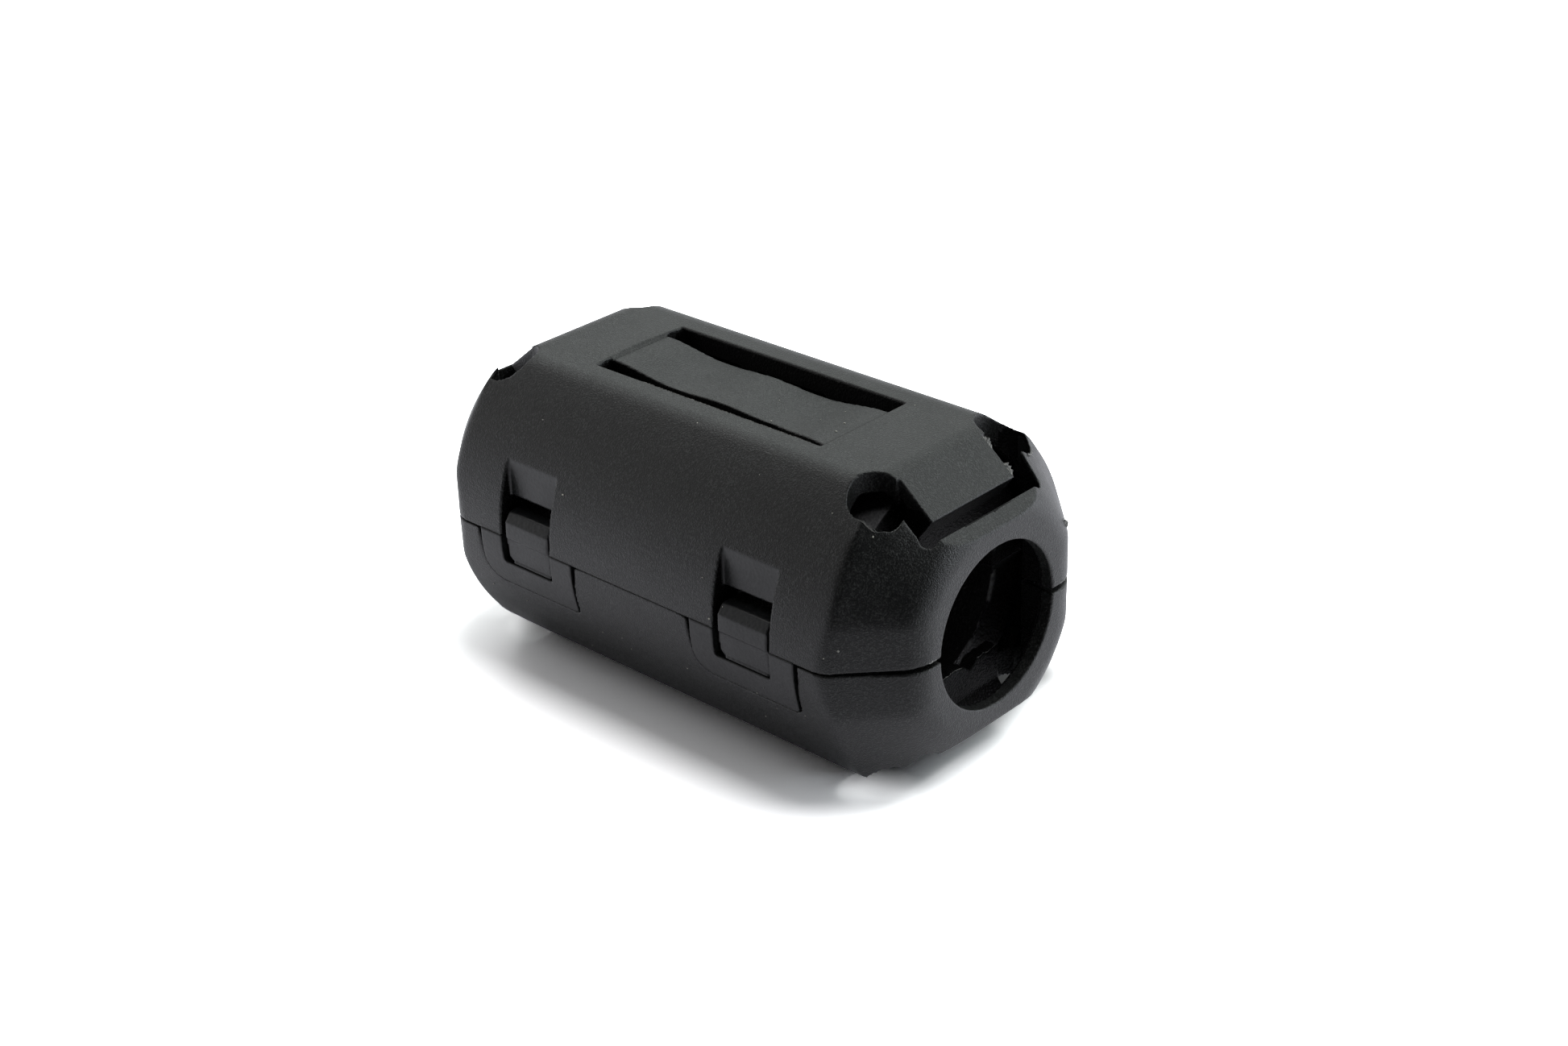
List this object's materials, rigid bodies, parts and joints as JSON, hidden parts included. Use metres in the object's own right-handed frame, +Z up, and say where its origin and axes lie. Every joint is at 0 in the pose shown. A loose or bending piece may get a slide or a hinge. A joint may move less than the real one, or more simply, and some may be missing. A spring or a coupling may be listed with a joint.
{
  "type": "clip-on ferrite bead",
  "caption": "Hinged black plastic case with snap latches, holding a split ferrite sleeve around a cable to suppress interference.",
  "frame": {"origin": "middle of the underside of the closed case", "axes": "+X along the cable, -Y the latch side, +Y the hinge side, +Z up"},
  "size_m": [0.035, 0.0207, 0.0178],
  "materials": {
    "case": "fine spark-eroded grain",
    "latch": "smooth, half matt",
    "strap": "smooth, half matt",
    "ferrite": "dull grey fired ceramic"
  },
  "bodies": {
    "lower_half": {"lower_shell": "case", "hinge_strap_left": "strap", "hinge_strap_right": "strap", "lower_core": "ferrite"},
    "upper_half": {"upper_shell": "case", "latch_loop_left": "latch", "latch_loop_right": "latch", "upper_core": "ferrite"}
  },
  "joints": [
    {"name": "case_hinge", "type": "hinge", "parent": "lower_half", "child": "upper_half", "pos_m": [0, 0.01065, 0.0089], "axis": [-1, 0, 0], "range_deg": [0, 170], "deforming": ["hinge_strap_left", "hinge_strap_right", "latch_loop_left", "latch_loop_right"]}
  ]
}
